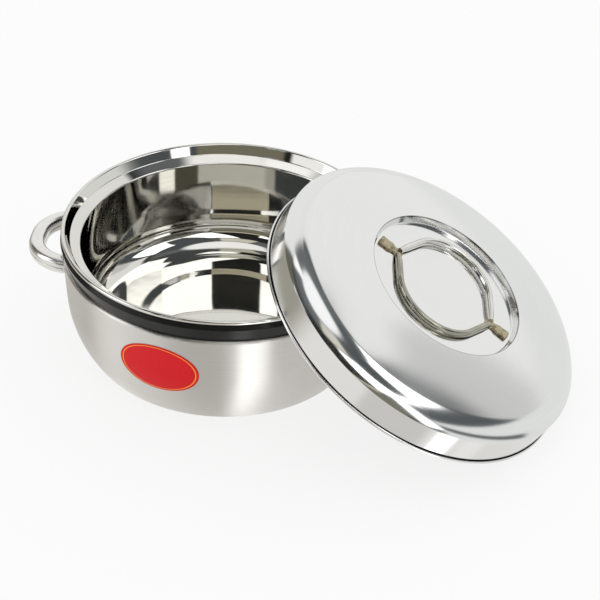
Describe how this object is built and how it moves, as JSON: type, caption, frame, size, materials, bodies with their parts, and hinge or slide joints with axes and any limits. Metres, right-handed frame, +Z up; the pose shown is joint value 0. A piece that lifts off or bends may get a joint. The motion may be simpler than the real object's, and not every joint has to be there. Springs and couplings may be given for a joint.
{
  "type": "insulated casserole",
  "caption": "Insulated steel serving casserole: a double-walled round pot with side loop handles, and its loose domed lid with a recessed eye-shaped handle, leaning on the rim.",
  "frame": {"origin": "on the pot's axis, in the plane of its flat base, so the floor is z = 0", "axes": "+Z up along the pot's axis; +X along the pot's handles, towards the handle that the leaning lid covers; the front with the oval label faces -Y"},
  "size_m": [0.4065, 0.2868, 0.1499],
  "materials": {
    "satin_steel": "satin",
    "mirror_steel": "polished",
    "lid_steel": "satin",
    "handle_steel": "polished",
    "bow_steel": "polished",
    "tinted_steel": "satin",
    "black_plastic": "gloss",
    "grey_plastic": "matte",
    "foam": "matte",
    "red_label": "gloss"
  },
  "bodies": {
    "pot": {"outer_shell": "satin_steel", "inner_pan": "mirror_steel", "collar_ring": "black_plastic", "base_plug": "grey_plastic", "pot_insulation": "foam", "front_label": "red_label", "right_handle_upper_half": "handle_steel", "right_handle_lower_half": "handle_steel", "right_handle_weld_feet": "handle_steel", "left_handle_upper_half": "handle_steel", "left_handle_lower_half": "handle_steel", "left_handle_weld_feet": "handle_steel"},
    "lid": {"lid_cover": "lid_steel", "lid_liner": "lid_steel", "lid_plug": "grey_plastic", "lid_insulation": "foam", "lid_handle_rear_bow": "bow_steel", "lid_handle_front_bow": "bow_steel", "lid_handle_right_tab": "tinted_steel", "lid_handle_left_tab": "tinted_steel"}
  },
  "joints": [
    {"name": "lid_lift", "type": "slide", "parent": "pot", "child": "lid", "axis": [0, 0, 1], "range_m": [0, 0.2]}
  ]
}
